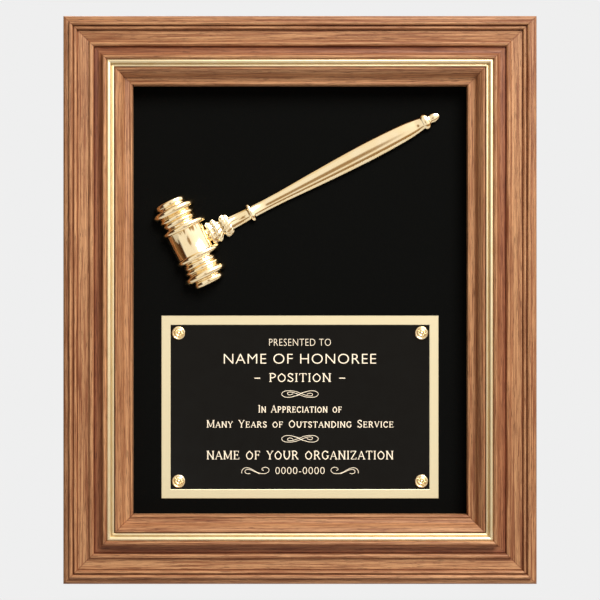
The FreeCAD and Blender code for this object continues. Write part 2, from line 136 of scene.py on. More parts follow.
# The two tall rings of the head: their place along it, radius, half width, rounding and offset.
MID_RING_AT = 10.7
MID_RING_R = 16.2
MID_RING_HALF = 1.9
MID_RING_ROUNDING = 1.6
MID_RING_SHIFT = 1.3
HANDLE_OUTLINE = [
    (12.6, 0.0), (12.6, 4.6), (14.0, 4.6), (14.3, 7.0), ((15.2, 8.0), (16.5, 7.6)), (18.2, 6.9),
    ((19.6, 7.9), (21.2, 7.0)), ((22.3, 5.6), (23.1, 4.6)), (24.0, 5.4),
    ((25.8, 7.5), (27.6, 7.2)), ((29.3, 6.7), (30.2, 5.7)), (30.6, 4.7), (43.4, 4.1),
    ((44.2, 4.7), (44.6, 5.6)), ((45.8, 6.4), (47.0, 5.5)), (47.8, 4.1),
    ((64.0, 4.1), (80.0, 4.75)), ((100.0, 5.7), (120.0, 6.4)), ((141.6, 6.65), (160.0, 6.15)),
    ((168.5, 5.4), (176.0, 4.2)), ((178.6, 5.5), (180.6, 4.4)), ((181.9, 2.8), (183.0, 2.9)),
    ((184.6, 3.1), (187.0, 2.3)), ((188.4, 1.3), (188.9, 0.0)),
]
# The cast leaves of the ferrule: where they start and end along the handle, how many go round it, how far
# along they slant by one leaf, a hollow's share of a leaf each way, and the share of the radius it keeps.
FERRULE_START = 14.1 * MM
FERRULE_END = 30.4 * MM
FERRULE_LEAVES = 12
FERRULE_PITCH = 9.0 * MM
HOLLOW_SHARE = 0.2
HOLLOW_PRESS = 0.88

# A rosette tack's head: its outline in millimetres, the faces round it, and its petals. A valley between
# petals is pressed from one radius to another, over this share of a petal each way.
TACK_OUTLINE = [
    (0.0, 0.0), (0.0, 4.5), ((0.8, 4.4), (1.2, 3.7)), ((1.0, 3.3), (0.8, 3.1)),
    ((1.5, 2.5), (1.6, 1.6)), (1.25, 1.1), ((1.7, 0.6), (1.8, 0.0)),
]
TACK_R = 4.5 * MM
TACK_STEPS = 48
PETALS = 8
VALLEY_START = 1.3 * MM
VALLEY_END = 3.0 * MM
VALLEY_SHARE = 0.1
VALLEY_DEPTH = 0.35 * MM


def linear(code):
    """An sRGB hex colour as linear red, green, blue and alpha."""
    parts = [int(code[k:k + 2], 16) / 255 for k in (1, 3, 5)]
    rgb = [part / 12.92 if part <= 0.04045 else ((part + 0.055) / 1.055) ** 2.4 for part in parts]
    return tuple(rgb) + (1.0,)


def colour_prop(name, description, code):
    """A colour that a user can change."""
    return FloatVectorProperty(
        name=name, description=description, subtype="COLOR", size=4, min=0.0, max=1.0, default=linear(code)
    )


class PlaqueSizes(bpy.types.PropertyGroup):
    """Sizes that a user would change."""

    arris: FloatProperty(
        name="Arris", description="Width of the sanded edges of the mouldings",
        default=0.14 * MM, min=0.0, max=1 * MM, precision=5, unit="LENGTH",
    )
    turning_steps: IntProperty(
        name="Turning steps", description="Faces round each turned piece", default=96, min=24, max=256,
    )
    border: FloatProperty(
        name="Plate border", description="Width of the bare brass border of the engraving plate",
        default=5.7 * MM, min=1 * MM, max=20 * MM, precision=4, unit="LENGTH",
    )
    engraving: FloatProperty(
        name="Lettering relief", description="How far the lettering stands out of the lacquer",
        default=0.06 * MM, min=0.01 * MM, max=0.5 * MM, precision=5, unit="LENGTH",
    )


class PlaqueColours(bpy.types.PropertyGroup):
    """Colours that a user would change."""

    walnut_light: colour_prop("Walnut, light", "Pale walnut between the darker streaks", "#DDA472")
    walnut_dark: colour_prop("Walnut, dark", "Darker walnut streaks", "#85492A")
    walnut_pore: colour_prop("Walnut pores", "Open pores, which hold stain", "#5A3018")
    # This colour also paints shade into the hollows of the moulding, mostly the deep cove.
    walnut_stain_and_shade: colour_prop("Walnut stain", "Stain that gathers in hollows and mitres", "#A0583A")
    gold: colour_prop("Gold plate", "Polished gold plate on the castings", "#FFEFCC")
    foil: colour_prop("Gold foil", "Foil of the fillet", "#E6D6B4")
    brass: colour_prop("Brass", "Bare brass of the plate and lettering", "#E0D6B3")
    lacquer: colour_prop("Lacquer", "Black lacquer of the engraving plate", "#0B0E10")
    velour: colour_prop("Velour", "Black pile", "#0E0E0C")


def sizes():
    return bpy.context.scene.plaque_sizes


def colours():
    return bpy.context.scene.plaque_colours


# ---------------------------------------------------------------- materials


def add(tree, kind, inputs=(), stops=(), **settings):
    """Adds one node with its settings, fills or links its inputs, and sets a ramp's stops."""
    made = tree.nodes.new("ShaderNode" + kind)
    for key, value in settings.items():
        setattr(made, key, value)
    for socket, value in dict(inputs).items():
        if isinstance(value, bpy.types.NodeSocket):
            tree.links.new(value, made.inputs[socket])
        else:
            made.inputs[socket].default_value = value
    if stops:
        ramp = made.color_ramp.elements
        while len(ramp) < len(stops):
            ramp.new(1.0)
        for element, (position, colour) in zip(ramp, stops):
            element.position = position
            element.color = colour
    return made


def grey(value):
    """A grey as red, green, blue and alpha."""
    return (value, value, value, 1.0)


def new_material(name, **shader):
    """A material with its shader's sockets set, and its tree, its shader and its object coordinates."""
    made = bpy.data.materials.new(name)
    made.use_nodes = True
    tree = made.node_tree
    skin = tree.nodes["Principled BSDF"]
    for socket, value in shader.items():
        skin.inputs[socket.replace("_", " ")].default_value = value
    where = add(tree, "TexCoord").outputs["Object"]
    return made, tree, skin, where


def speckle(tree, where, spacing, detail, **more):
    """A pattern of soft spots that are a spacing apart in millimetres."""
    inputs = {"Vector": where, "Scale": 1 / (spacing * MM), "Detail": detail, **more}
    return add(tree, "TexNoise", inputs).outputs["Fac"]


def blend_hues(tree, share, first, second, way="MIX"):
    """The first colour where the share is none, and the second where it is full."""
    mixed = add(tree, "Mix", {0: share, 6: first, 7: second}, data_type="RGBA", blend_type=way)
    return mixed.outputs[2]


def colour_by(tree, skin, pattern, first, second, stops=()):
    """Colours a finish by a pattern, from the first colour to the second, or only between two stops."""
    if stops:
        tint = add(tree, "ValToRGB", {"Fac": pattern}, tuple(zip(stops, (first, second)))).outputs[0]
    else:
        tint = blend_hues(tree, pattern, first, second)
    tree.links.new(tint, skin.inputs["Base Color"])


def raise_surface(tree, skin, height, strength, depth):
    """Raises a finish by a pattern, to a depth in millimetres."""
    bump = add(tree, "Bump", {"Height": height, "Strength": strength, "Distance": depth * MM})
    tree.links.new(bump.outputs["Normal"], skin.inputs["Normal"])


def vary_gloss(tree, skin, pattern, low, high):
    """Lets the roughness run with a pattern."""
    rough = add(tree, "MapRange", {"Value": pattern, "To Min": low, "To Max": high})
    tree.links.new(rough.outputs["Result"], skin.inputs["Roughness"])


# Each grain of the walnut: the length and the width of its marks in millimetres, and its detail.
GRAINS = {"figure": (160, 8, 3.0), "streak": (40, 0.75, 5.0), "pore": (9, 0.4, 2.0)}
GRAIN_ROUGHNESS = 0.62
# Where each grain starts and is full, how much the streaks count beside the figure, and the pores' strength.
FIGURE_STOPS = [(0.32, grey(0)), (0.68, grey(1))]
STREAK_STOPS = [(0.42, grey(0)), (0.6, grey(1))]
PORE_STOPS = [(0.57, grey(0)), (0.63, grey(1))]
STREAK_PART = 0.66
PORE_PART = 0.65


def walnut(name, along):
    """Walnut under satin lacquer: warm brown, in streaks about 0.75 mm wide that run along the rail.

    Its open pores are dark dashes, drawn 0.4 mm wide because the real 0.2 mm is too fine to show.
    The hollows of the moulding and the mitres hold more stain, so they are darker than the flats; across the
    hollows, mostly the deep cove, that darkening is also painted shade.
    The lacquer is rubbed down, so it reflects less than a gloss coat, and its specular level is low.
    """
    made, tree, skin, where = new_material(name, IOR=1.5, Specular_IOR_Level=0.3)
    hues = colours()
    axes = add(tree, "SeparateXYZ", {"Vector": where}).outputs
    long_axis, cross_axis = (axes["X"], axes["Z"]) if along == "X" else (axes["Z"], axes["X"])
    grain = add(tree, "CombineXYZ", {"X": long_axis, "Y": axes["Y"], "Z": cross_axis}).outputs["Vector"]
    noises = {}
    for part, (run, width, detail) in GRAINS.items():
        size = (1 / (run * MM), 1 / (width * MM), 1 / (width * MM))
        stretched = add(tree, "Mapping", {"Vector": grain, "Scale": size}).outputs["Vector"]
        inputs = {"Vector": stretched, "Scale": 1.0, "Detail": detail, "Roughness": GRAIN_ROUGHNESS}
        noises[part] = add(tree, "TexNoise", inputs).outputs["Fac"]
    figure = add(tree, "ValToRGB", {"Fac": noises["figure"]}, FIGURE_STOPS).outputs[0]
    streak = add(tree, "ValToRGB", {"Fac": noises["streak"]}, STREAK_STOPS).outputs[0]
    pores = add(tree, "ValToRGB", {"Fac": noises["pore"]}, PORE_STOPS).outputs[0]
    tone = blend_hues(tree, STREAK_PART, figure, streak)
    wood = blend_hues(tree, tone, tuple(hues.walnut_light), tuple(hues.walnut_dark))
    pore_share = add(tree, "Math", {0: pores, 1: PORE_PART}, operation="MULTIPLY").outputs[0]
    pored = blend_hues(tree, pore_share, wood, tuple(hues.walnut_pore))
    # Multiplies in stain in the grooves and mitres, and painted shade across the hollows, mostly the deep
    # cove.
    stained_and_shaded = blend_hues(tree, stain_and_shade_share(tree, axes), pored, tuple(hues.walnut_stain_and_shade), "MULTIPLY")
    tree.links.new(stained_and_shaded, skin.inputs["Base Color"])
    vary_gloss(tree, skin, noises["streak"], 0.42, 0.58)
    relief = add(tree, "Math", {0: noises["streak"], 1: pores}, operation="SUBTRACT").outputs[0]
    raise_surface(tree, skin, relief, 0.4, 0.1)
    return made


# How much stain and painted shade the moulding gets, by the distance in millimetres from the frame's outer
# edge: stain in the grooves, painted shade across the hollows, mostly the deep cove.
STAIN_AND_SHADE = [
    (0.0, 0.35), (1.6, 0.12), (3.3, 0.0), (3.9, 0.65), (4.5, 0.0), (6.3, 0.0), (6.95, 0.8),
    (7.6, 0.0), (9.1, 0.0), (9.7, 0.75), (10.4, 0.0), (16.9, 0.0), (17.4, 0.7), (18.0, 0.0),
    # From 20.3 to 27.6 mm the deep cove is darkened all across as painted shade.
    (20.3, 0.0), (21.0, 0.9), (22.3, 0.6), (26.4, 0.5), (27.6, 0.0), (34.2, 0.0), (34.9, 0.8),
    (35.7, 0.1), (41.6, 0.1), (42.6, 0.0),
]
STAIN_REACH = 50
# The stain in a mitre, and how far from it the stain ends.
MITRE_STAIN = 0.55
MITRE_REACH = 0.7


def stain_and_shade_share(tree, axes):
    """How much stain and painted shade a point of the frame gets, from its distances to the frame's outer
    edges.
    """
    inward = []
    for axis, half in (("X", FRAME_W / 2), ("Z", FRAME_H / 2)):
        size = add(tree, "Math", {0: axes[axis]}, operation="ABSOLUTE")
        inward.append(add(tree, "Math", {0: half, 1: size.outputs[0]}, operation="SUBTRACT").outputs[0])
    edge = add(tree, "Math", {0: inward[0], 1: inward[1]}, operation="MINIMUM")
    share = add(tree, "Math", {0: edge.outputs[0], 1: STAIN_REACH * MM}, operation="DIVIDE")
    stops = [(u / STAIN_REACH, grey(amount)) for u, amount in STAIN_AND_SHADE]
    # Stain in the grooves and painted shade in the hollows, by the distance from the outer edge.
    hollow_stain_and_shade = add(tree, "ValToRGB", {"Fac": share.outputs[0]}, stops).outputs[0]
    across = add(tree, "Math", {0: inward[0], 1: inward[1]}, operation="SUBTRACT")
    off_mitre = add(tree, "Math", {0: across.outputs[0]}, operation="ABSOLUTE")
    fade = {"Value": off_mitre.outputs[0], "From Max": MITRE_REACH * MM, "To Min": MITRE_STAIN, "To Max": 0.0}
    mitre = add(tree, "MapRange", fade)
    return add(tree, "Math", {0: hollow_stain_and_shade, 1: mitre.outputs["Result"]}, operation="MAXIMUM").outputs[0]


def polished_gold():
    """Polished gold plate over a zinc casting: soft ripples from hand buffing bend its reflections."""
    made, tree, skin, where = new_material("polished_gold_plate", Metallic=1.0, Roughness=0.12)
    warm = speckle(tree, where, 9, 2.0)
    colour_by(tree, skin, warm, tuple(colours().gold), linear("#FBDCA0"))
    raise_surface(tree, skin, speckle(tree, where, 5, 1.5), 0.08, 0.1)
    return made


def gold_foil():
    """Hot-stamped gold foil on a wooden strip: satin, with faint spots where it was pressed on."""
    made, tree, skin, where = new_material("gold_foil", Metallic=1.0, Roughness=0.5)
    spots = speckle(tree, where, 5, 3.0)
    colour_by(tree, skin, spots, tuple(colours().foil), linear("#DEC898"))
    raise_surface(tree, skin, spots, 0.2, 0.1)
    return made


def brushed_brass():
    """Bare plate brass, brushed lengthwise before lacquering: fine lines blur its reflections one way.

    The lines are 12 mm long and drawn 0.25 mm apart, because real ones are too fine to show.
    """
    made, tree, skin, where = new_material("brushed_brass", Metallic=1.0, Roughness=0.45)
    lines = add(tree, "Mapping", {"Vector": where, "Scale": (1 / (12 * MM), 1 / MM, 1 / (0.25 * MM))})
    inputs = {"Vector": lines.outputs["Vector"], "Scale": 1.0, "Detail": 3.0}
    brushed = add(tree, "TexNoise", inputs).outputs["Fac"]
    colour_by(tree, skin, brushed, tuple(colours().brass), linear("#EAD7AE"))
    raise_surface(tree, skin, brushed, 0.12, 0.05)
    return made


def engraved_brass():
    """Brass cut bright by the engraver: fine tool marks scatter the light, so that it reads pale and even."""
    made, tree, skin, where = new_material("engraved_brass", Metallic=1.0, Roughness=0.55)
    marks = speckle(tree, where, 0.5, 2.0)
    colour_by(tree, skin, marks, linear("#FFF6E2"), linear("#FFEACB"))
    raise_surface(tree, skin, marks, 0.15, 0.05)
    return made


def black_lacquer():
    """Baked black lacquer on brass: glossy, with the slight unevenness of a dipped coat.

    Its specular level is low, so that the pale surround doesn't grey it.
    """
    made, tree, skin, where = new_material("black_lacquer", IOR=1.5, Specular_IOR_Level=0.3)
    mottle = speckle(tree, where, 7, 3.0)
    vary_gloss(tree, skin, mottle, 0.05, 0.1)
    colour_by(tree, skin, mottle, tuple(colours().lacquer), linear("#101314"))
    return made


def black_velour():
    """Black velour: a short dense pile that swallows light, drawn as 0.6 mm tufts, coarser than real."""
    made, tree, skin, where = new_material(
        "velour_pile", Roughness=0.95, Sheen_Weight=0.01, Sheen_Roughness=0.5, Specular_IOR_Level=0.05,
    )
    tufts = speckle(tree, where, 0.6, 3.0)
    colour_by(tree, skin, tufts, tuple(colours().velour), linear("#080807"))
    raise_surface(tree, skin, tufts, 0.6, 0.3)
    return made


def fibreboard():
    """Bare medium-density fibreboard: matt tan, flecked with 0.9 mm bundles of fibre."""
    made, tree, skin, where = new_material("bare_fibreboard", Roughness=0.85)
    flecks = speckle(tree, where, 0.9, 5.0, Roughness=0.7)
    colour_by(tree, skin, flecks, linear("#8A6A48"), linear("#B08E66"), stops=(0.35, 0.65))
    raise_surface(tree, skin, flecks, 0.3, 0.1)
    return made


def zinc_plate():
    """Bright zinc on pressed steel: grey, softly mottled by its crystals."""
    made, tree, skin, where = new_material("bright_zinc", Metallic=1.0)
    spangle = speckle(tree, where, 1.5, 4.0)
    colour_by(tree, skin, spangle, linear("#A9ACAF"), linear("#C9CCCE"), stops=(0.35, 0.65))
    vary_gloss(tree, skin, spangle, 0.28, 0.42)
    raise_surface(tree, skin, spangle, 0.15, 0.05)
    return made


def black_rubber():
    """Moulded black rubber: matt, with fine speckle and dust."""
    made, tree, skin, where = new_material("moulded_rubber", Roughness=0.75)
    dust = speckle(tree, where, 0.4, 4.0)
    colour_by(tree, skin, dust, linear("#191919"), linear("#2B2A29"), stops=(0.4, 0.7))
    raise_surface(tree, skin, dust, 0.2, 0.05)
    return made


def floor_paint():
    """Matt pale emulsion on the studio floor."""
    made, _, _, _ = new_material("floor_paint", Roughness=0.8, Base_Color=linear("#E6E6E6"))
    return made


def finish_of(name, make, *details):
    """The material of that name, made the first time it is asked for."""
    return bpy.data.materials.get(name) or make(*details)


# ---------------------------------------------------------------- modelling


def leave_edit():
    """Goes back to object mode."""
    bpy.ops.object.mode_set(mode="OBJECT")


def deselect():
    """Leaves edit mode and deselects everything."""
    if bpy.context.object and bpy.context.object.mode == "EDIT":
        leave_edit()
    bpy.ops.object.select_all(action="DESELECT")


def choose(piece):
    """Selects one piece alone."""
    deselect()
    piece.select_set(True)
    bpy.context.view_layer.objects.active = piece


def edit(piece):
    """Opens one piece in edit mode with all of it selected."""
    choose(piece)
    bpy.ops.object.mode_set(mode="EDIT")
    bpy.ops.mesh.select_all(action="SELECT")


def arc_through(start, middle, end):
    """The centre of the circle through three points of a plane, and the turn from start to end."""
    ax, ay = start
    bx, by = middle
    cx, cy = end
    twice = 2 * (ax * (by - cy) + bx * (cy - ay) + cx * (ay - by))
    a2, b2, c2 = ax * ax + ay * ay, bx * bx + by * by, cx * cx + cy * cy
    x = (a2 * (by - cy) + b2 * (cy - ay) + c2 * (ay - by)) / twice
    y = (a2 * (cx - bx) + b2 * (ax - cx) + c2 * (bx - ax)) / twice
    first = math.atan2(ay - y, ax - x)
    turns = [math.atan2(q - y, p - x) - first for p, q in (middle, end)]
    way = [t % (2 * math.pi) for t in turns]
    turn = way[1] if way[0] < way[1] else way[1] - 2 * math.pi
    return (x, y), turn


def trace(name, outline, origin, across, up, arc_step=math.radians(12)):
    """Draws an outline in millimetres as a chain of edges: straight steps are extruded, arcs are spun."""
    deselect()
    origin, across, up = Vector(origin), Vector(across), Vector(up)

    def place(point):
        return origin + (across * point[0] + up * point[1]) * MM

    bpy.ops.mesh.primitive_plane_add(size=MM, location=place(outline[0]))
    piece = bpy.context.object
    piece.name = name
    bpy.ops.object.transform_apply(location=True, rotation=True, scale=True)
    edit(piece)
    bpy.ops.mesh.merge(type="CENTER")
    here = outline[0]
    for step in outline[1:]:
        if isinstance(step[0], tuple):
            centre, turn = arc_through(here, *step)
            steps = max(3, math.ceil(abs(turn) / arc_step))
            bpy.ops.mesh.spin(steps=steps, angle=-turn, center=place(centre), axis=across.cross(up))
            here = step[1]
        else:
            move = place(step) - place(here)
            bpy.ops.mesh.extrude_vertices_move(TRANSFORM_OT_translate={"value": move})
            here = step
    return piece


def smooth(piece, degrees=35.0):
    """Rounds the shading of all but the sharp edges."""
    choose(piece)
    bpy.ops.object.shade_smooth_by_angle(angle=math.radians(degrees))


def apply_place(piece):
    """Puts a piece's place, turn and scale into its mesh."""
    choose(piece)
    bpy.ops.object.transform_apply(location=True, rotation=True, scale=True)


def apply_modifier(piece, kind, **settings):
    """Adds a modifier with its settings and applies it."""
    choose(piece)
    made = piece.modifiers.new(kind.title(), kind)
    for key, value in settings.items():
        setattr(made, key, value)
    bpy.ops.object.modifier_apply(modifier=made.name)


def tidy_faces(piece):
    """Merges doubled points and turns all faces outwards."""
    edit(piece)
    bpy.ops.mesh.remove_doubles(threshold=0.001 * MM)
    bpy.ops.mesh.normals_make_consistent(inside=False)
    leave_edit()


def finish_piece(piece, material, slot, *nodes):
    """Gives a piece its material and its body, and hides the nodes that it stands for. The slot is not used.
    """
    piece.data.materials.clear()
    piece.data.materials.append(material)
    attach(piece, BODY)
    if nodes:
        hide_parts(*nodes)


def mitred_length(name, outline, side):
    """A length of moulding for one side: its outline drawn out along the side and cut at both mitres."""
    length, width, turn = SIDES[side]
    low = -width / 2
    piece = trace(name, outline + outline[:1], (-length / 2, RAIL_BACK_Y, low), Z_AXIS, FORWARD)
    bpy.ops.mesh.select_all(action="SELECT")
    bpy.ops.mesh.remove_doubles(threshold=0.001 * MM)
    bpy.ops.mesh.edge_face_add()
    bpy.ops.mesh.extrude_region_move(TRANSFORM_OT_translate={"value": X_AXIS * length})
    for end in (-1, 1):
        bpy.ops.mesh.select_all(action="SELECT")
        corner = (end * length / 2, 0, low)
        bpy.ops.mesh.bisect(plane_co=corner, plane_no=(end, 0, 1), use_fill=True, clear_outer=True)
    tidy_faces(piece)
    apply_modifier(
        piece, "BEVEL", width=sizes().arris, segments=2, limit_method="ANGLE", angle_limit=math.radians(38),
    )
    piece.rotation_euler = (0, math.radians(turn), 0)
    apply_place(piece)
    smooth(piece)
    return piece


class PLAQUE_OT_mouldings(bpy.types.Operator):
    """Models the walnut rails, the gold fillets and the inner slips, four lengths of each."""

    bl_idname = "plaque.mouldings"
    bl_label = "Mouldings"

    def execute(self, context):
        kinds = (
            ("rail", RAIL_OUTLINE, "walnut"),
            ("gold_fillet", FILLET_OUTLINE, "gold_leaf"),
            ("slip", SLIP_OUTLINE, "walnut"),
        )
        for side in SIDES:
            along = "X" if side in ("top", "bottom") else "Z"
            for kind, outline, slot in kinds:
                piece = mitred_length(f"{side}_{kind}_moulding", outline, side)
                if slot == "walnut":
                    material = finish_of("walnut_along_" + along, walnut, "walnut_along_" + along, along)
                else:
                    material = finish_of("gold_foil", gold_foil)
                finish_piece(piece, material, slot, f"{side}_{kind}")
        return {"FINISHED"}


def turned(name, outline, origin, along, steps=None):
    """A piece turned on a lathe: its outline spun once round the axis."""
    up = X_AXIS if along == FORWARD else FORWARD
    piece = trace(name, outline, origin, along, up)
    bpy.ops.mesh.select_all(action="SELECT")
    steps = steps or sizes().turning_steps
    bpy.ops.mesh.spin(steps=steps, angle=2 * math.pi, center=origin, axis=along, use_auto_merge=True)
    tidy_faces(piece)
    return piece


def lay_on_velour(piece, turn, x, z):
    """Turns a casting, moves it to its place in millimetres, and cuts it off flat at the velour."""
    piece.rotation_euler = (0, -turn, 0)
    piece.location = (x * MM, 0, z * MM)
    apply_place(piece)
    edit(piece)
    bpy.ops.mesh.bisect(plane_co=(0, VELOUR_Y, 0), plane_no=(0, 1, 0), clear_outer=True)
    bpy.ops.mesh.fill()
    tidy_faces(piece)


def flatten(piece, axis_y, relief):
    """Flattens a turned casting to a relief about its axis."""
    edit(piece)
    bpy.ops.transform.resize(value=(1, relief, 1), center_override=(0, axis_y, 0))
    leave_edit()


def unite(piece, other):
    """Makes two closed pieces one."""
    apply_modifier(piece, "BOOLEAN", object=other, operation="UNION", solver="EXACT")
    bpy.data.objects.remove(other)


def pick_points(piece, chosen):
    """Opens one piece in edit mode with only those points selected whose place is chosen."""
    edit(piece)
    bpy.ops.mesh.select_mode(type="VERT")
    bpy.ops.mesh.select_all(action="DESELECT")
    leave_edit()
    for vertex in piece.data.vertices:
        vertex.select = chosen(vertex.co)
    bpy.ops.object.mode_set(mode="EDIT")


def press_leaves(handle, axis_y):
    """Presses the slanting hollows between the cast leaves round the handle's ferrule."""

    def in_hollow(place):
        turn = math.atan2(place.z, place.y - axis_y) / (2 * math.pi) * FERRULE_LEAVES
        turn += (place.x - FERRULE_START) / FERRULE_PITCH
        return FERRULE_START < place.x < FERRULE_END and abs(turn - round(turn)) < HOLLOW_SHARE

    pick_points(handle, in_hollow)
    bpy.ops.transform.resize(value=(1, HOLLOW_PRESS, HOLLOW_PRESS), center_override=(0, axis_y, 0))
    leave_edit()


def both_sides(outline):
    """A whole outline, from the half of it that runs from its middle to one end."""
    ends = [step[1] if isinstance(step[0], tuple) else step for step in outline]
    whole = [(-ends[-1][0], ends[-1][1])]
    for step, (along, out) in zip(reversed(outline[1:]), reversed(ends[:-1])):
        if isinstance(step[0], tuple):
            whole.append(((-step[0][0], step[0][1]), (-along, out)))
        else:
            whole.append((-along, out))
    return whole + outline[1:]


def mid_ring_outline(at):
    """The outline of a tall ring round the head, by its place along it."""
    shoulder = MID_RING_R - MID_RING_ROUNDING
    return [
        (at - MID_RING_HALF, 0.0),
        (at - MID_RING_HALF, shoulder),
        ((at, MID_RING_R), (at + MID_RING_HALF, shoulder)),
        (at + MID_RING_HALF, 0.0),
    ]


class PLAQUE_OT_gavel(bpy.types.Operator):
    """Models the head and handle of the gavel, turned and cut off flat at the back."""

    bl_idname = "plaque.gavel"
    bl_label = "Gavel"

    def execute(self, context):
        axis_y = VELOUR_Y - GAVEL_AXIS * MM
        gold = finish_of("polished_gold_plate", polished_gold)
        head = turned("gavel_head_casting", both_sides(HEAD_HALF_OUTLINE), (0, axis_y, 0), Z_AXIS)
        for k, at in enumerate((-MID_RING_AT, MID_RING_AT)):
            ring = turned(f"mid_ring_{k}", mid_ring_outline(at), (MID_RING_SHIFT * MM, axis_y, 0), Z_AXIS)
            unite(head, ring)
        flatten(head, axis_y, HEAD_RELIEF)
        lay_on_velour(head, HEAD_TURN, GAVEL_X, GAVEL_Z)
        apply_modifier(
            head, "BEVEL", width=0.18 * MM, segments=2, limit_method="ANGLE", angle_limit=math.radians(50),
        )
        smooth(head, 40)
        finish_piece(head, gold, "gold_plate", "gavel_head")

        handle = turned("gavel_handle_casting", HANDLE_OUTLINE, (0, axis_y, 0), X_AXIS)
        press_leaves(handle, axis_y)
        flatten(handle, axis_y, HANDLE_RELIEF)
        start_x = GAVEL_X + HANDLE_DROP * math.sin(HEAD_TURN)
        start_z = GAVEL_Z - HANDLE_DROP * math.cos(HEAD_TURN)
        lay_on_velour(handle, HANDLE_TURN, start_x, start_z)
        smooth(handle, 40)
        finish_piece(handle, gold, "gold_plate", "gavel_handle")
        return {"FINISHED"}


def upright_plane(name, y, z):
    """A square metre that faces forwards, at a depth and a height."""
    deselect()
    bpy.ops.mesh.primitive_plane_add(size=1, location=(0, y, z), rotation=(math.pi / 2, 0, 0))
    piece = bpy.context.object
    piece.name = name
    return piece


def close_front(piece, y):
    """Fills the front of the velour, which the extrusion took with it."""

    def in_front(place):
        return abs(place.y - y) < 0.01 * MM

    pick_points(piece, in_front)
    bpy.ops.mesh.edge_face_add()
    leave_edit()


class PLAQUE_OT_velour(bpy.types.Operator):
    """Stretches black velour over the board, round its edges and over the rim of its back."""

    bl_idname = "plaque.velour"
    bl_label = "Velour"

    def execute(self, context):
        low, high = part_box("velour_cover")
        cloth_t = 0.6 * MM
        flap = 17.0 * MM
        piece = upright_plane("velour_cloth", low.y + cloth_t, 0)
        piece.scale = (high.x - low.x - 2 * cloth_t, high.z - low.z - 2 * cloth_t, 1)
        apply_place(piece)
        edit(piece)
        depth = high.y - low.y - 2 * cloth_t
        bpy.ops.mesh.extrude_region_move(TRANSFORM_OT_translate={"value": (0, depth, 0)})
        bpy.ops.mesh.inset(thickness=flap)
        bpy.ops.mesh.delete(type="FACE")
        close_front(piece, low.y + cloth_t)
        tidy_faces(piece)
        apply_modifier(piece, "BEVEL", width=0.9 * MM, segments=3, limit_method="ANGLE")
        apply_modifier(piece, "SOLIDIFY", thickness=cloth_t, offset=1.0)
        tidy_faces(piece)
        smooth(piece, 50)
        finish_piece(piece, finish_of("velour_pile", black_velour), "black_velour", "velour_cover")
        return {"FINISHED"}


class PLAQUE_OT_plate(bpy.types.Operator):
    """Models the engraving plate: a brass sheet with a bare border round a black field."""

    bl_idname = "plaque.plate"
    bl_label = "Engraving plate"

    def execute(self, context):
        low, high = PLATE_LOW, PLATE_HIGH
        piece = upright_plane("brass_engraving_plate", high.y, PLATE_MIDDLE.z)
        piece.scale = (high.x - low.x, high.z - low.z, 1)
        apply_place(piece)
        brass = finish_of("brushed_brass", brushed_brass)
        lacquer = finish_of("black_lacquer", black_lacquer)
        finish_piece(piece, brass, "lacquered_brass", "engraving_plate")
        piece.data.materials.append(lacquer)
        edit(piece)
        thick = high.y - low.y
        edge = 0.25 * MM
        bpy.ops.mesh.extrude_region_move(TRANSFORM_OT_translate={"value": FORWARD * (thick - edge)})
        bpy.ops.mesh.inset(thickness=edge, depth=edge)
        bpy.ops.mesh.inset(thickness=sizes().border)
        bpy.ops.mesh.inset(thickness=0.25 * MM, depth=-LACQUER_DEPTH)
        piece.active_material_index = 1
        bpy.ops.object.material_slot_assign()
        bpy.ops.mesh.select_all(action="SELECT")
        bpy.ops.mesh.region_to_loop()
        bpy.ops.mesh.edge_face_add()
        tidy_faces(piece)
        return {"FINISHED"}


def press_petals(tack):
    """Presses valleys between the petals of a tack's dome."""

    def in_valley(place):
        turn = math.atan2(place.z, place.x) / (2 * math.pi) * PETALS
        out = math.hypot(place.x, place.z)
        return VALLEY_START < out < VALLEY_END and abs(turn - round(turn)) < VALLEY_SHARE

    pick_points(tack, in_valley)
    bpy.ops.transform.translate(value=FORWARD * -VALLEY_DEPTH)
    leave_edit()


class PLAQUE_OT_tacks(bpy.types.Operator):
    """Models one rosette tack and sets four of them in the plate's corners."""

    bl_idname = "plaque.tacks"
    bl_label = "Rosette tacks"

    def execute(self, context):
        low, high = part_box("rosette_tacks")
        first = turned("rosette_tack_1", TACK_OUTLINE, (0, 0, 0), FORWARD, steps=TACK_STEPS)
        press_petals(first)
        smooth(first, 40)
        brass = finish_of("polished_gold_plate", polished_gold)
        tacks = [first]
        for number in (2, 3, 4):
            tack = first.copy()
            tack.data = first.data.copy()
            tack.name = f"rosette_tack_{number}"
            context.collection.objects.link(tack)
            tacks.append(tack)
        spots = [(x, z) for x in (low.x + TACK_R, high.x - TACK_R) for z in (low.z + TACK_R, high.z - TACK_R)]
        for tack, (x, z) in zip(tacks, spots):
            tack.location = (x, PLATE_LOW.y, z)
            apply_place(tack)
            finish_piece(tack, brass, "plated_brass")
        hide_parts("rosette_tacks")
        return {"FINISHED"}


class PLAQUE_OT_hardware(bpy.types.Operator):
    """Finishes the board and the hardware on the back."""

    bl_idname = "plaque.hardware"
    bl_label = "Back and hardware"

    def execute(self, context):
        zinc = finish_of("bright_zinc", zinc_plate)
        rubber = finish_of("moulded_rubber", black_rubber)
        board = finish_of("bare_fibreboard", fibreboard)
        for name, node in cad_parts.items():
            if name.startswith("wall_pad"):
                material = rubber
            elif name == "display_board":
                material = board
            else:
                material = zinc
            node.data.materials.clear()
            node.data.materials.append(material)
        return {"FINISHED"}


# ---------------------------------------------------------------- lettering

# The weights of a stroke, and half of a thick stroke's width as a share of the cap height.
THICK = 1.0
THIN = 0.62
STROKES = 0.068


def thick(*points):
    """A thick straight stroke through points."""
    return (THICK, list(points), False)


